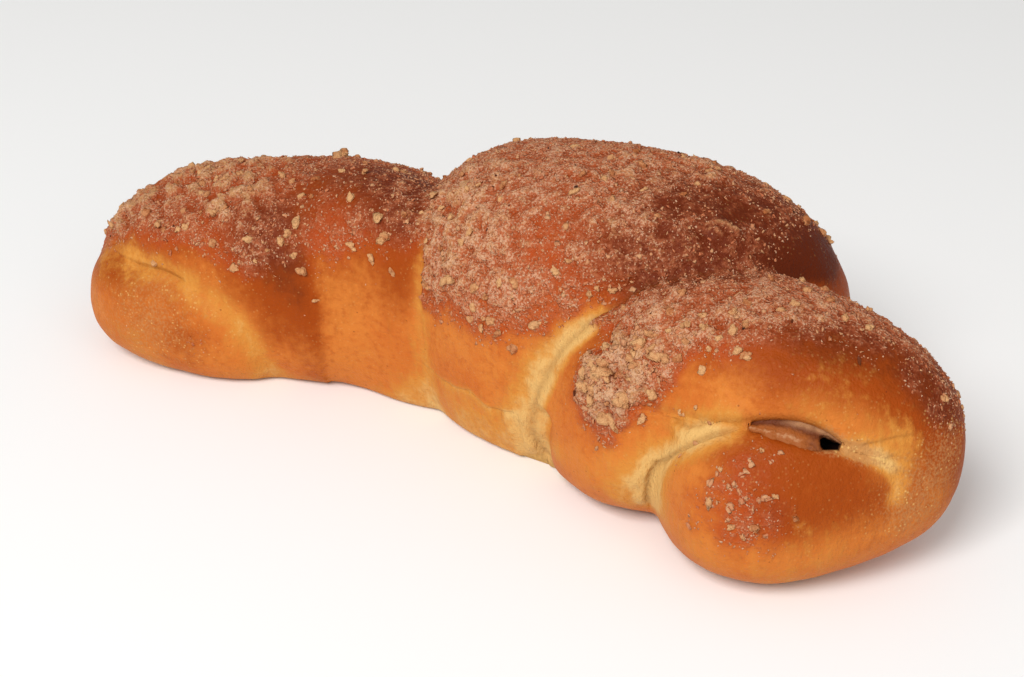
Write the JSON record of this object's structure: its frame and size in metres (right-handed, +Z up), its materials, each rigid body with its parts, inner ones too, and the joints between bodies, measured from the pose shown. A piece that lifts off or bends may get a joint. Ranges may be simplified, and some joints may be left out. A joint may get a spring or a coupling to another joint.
{
  "type": "nut crescent roll",
  "caption": "Baked crescent roll of wrapped yeast dough with tucked ends, chopped nuts and sugar on top, and nut filling in a slit.",
  "frame": {"origin": "middle of the roll's footprint, on the surface it rests on", "axes": "+X along the roll towards the end with the slit, -Y the side where the slit shows, +Z up"},
  "size_m": [0.1697, 0.0656, 0.0509],
  "materials": {
    "crust": "golden brown baked crust, pale in the creases, with sugar and chopped nuts",
    "filling": "moist ground nut filling"
  },
  "bodies": {
    "root": {"roll_dough": "crust", "nut_filling": "filling"}
  },
  "joints": []
}
